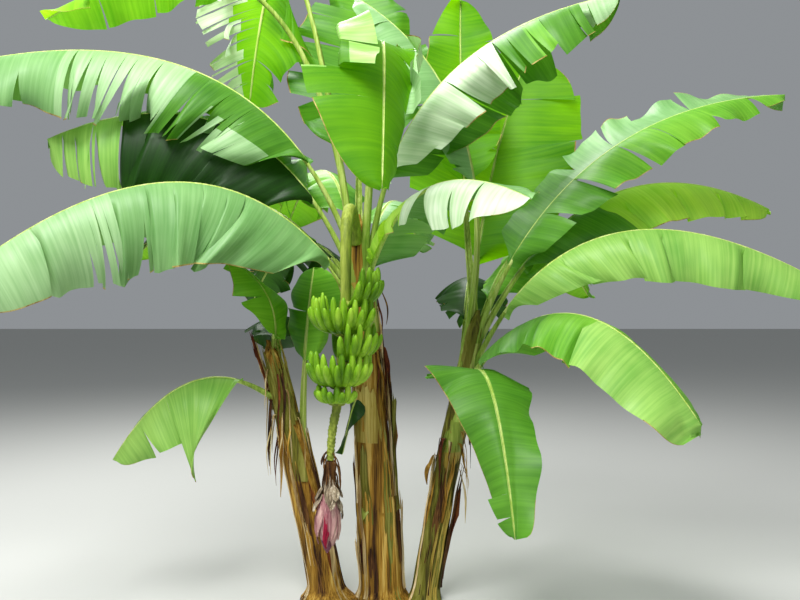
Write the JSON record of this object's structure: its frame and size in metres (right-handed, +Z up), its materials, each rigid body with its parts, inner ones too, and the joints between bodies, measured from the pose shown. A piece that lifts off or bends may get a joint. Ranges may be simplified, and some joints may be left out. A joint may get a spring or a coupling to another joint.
{
  "type": "banana plant",
  "caption": "Clump of leaning banana stems from one root, with torn arching leaves all round, a hanging bunch of green fruit and a pointed flower bud.",
  "frame": {"origin": "centre of the flat cut at ground level under the main stem", "axes": "+Z up, -Y towards the hanging bunch and its bud, +X to the right of a person who faces the bunch"},
  "size_m": [4.4662, 2.2459, 3.7674],
  "materials": {
    "stem": "matt, dry sheaths",
    "leaf": "satin, waxy",
    "fruit": "satin",
    "bud": "matt, bloomed"
  },
  "bodies": {
    "root": {"stem_centre": "stem", "stem_left": "stem", "stem_right": "stem", "leaf_centre_01": "leaf", "leaf_centre_02": "leaf", "leaf_centre_03": "leaf", "leaf_centre_04": "leaf", "leaf_centre_05": "leaf", "leaf_centre_06": "leaf", "leaf_centre_07": "leaf", "leaf_centre_08": "leaf", "leaf_centre_09": "leaf", "leaf_centre_10": "leaf", "leaf_centre_11": "leaf", "leaf_centre_12": "leaf", "leaf_centre_13": "leaf", "leaf_centre_14": "leaf", "leaf_right_01": "leaf", "leaf_right_02": "leaf", "leaf_right_03": "leaf", "leaf_right_04": "leaf", "leaf_right_05": "leaf", "leaf_right_06": "leaf", "leaf_right_07": "leaf", "leaf_right_08": "leaf", "leaf_right_09": "leaf", "leaf_right_10": "leaf", "leaf_left_01": "leaf", "leaf_left_02": "leaf", "leaf_left_03": "leaf", "leaf_left_04": "leaf", "fruit_stalk": "fruit", "hand_1": "fruit", "hand_2": "fruit", "hand_3": "fruit", "hand_4": "fruit", "hand_5": "fruit", "flower_bud": "bud"}
  },
  "joints": []
}
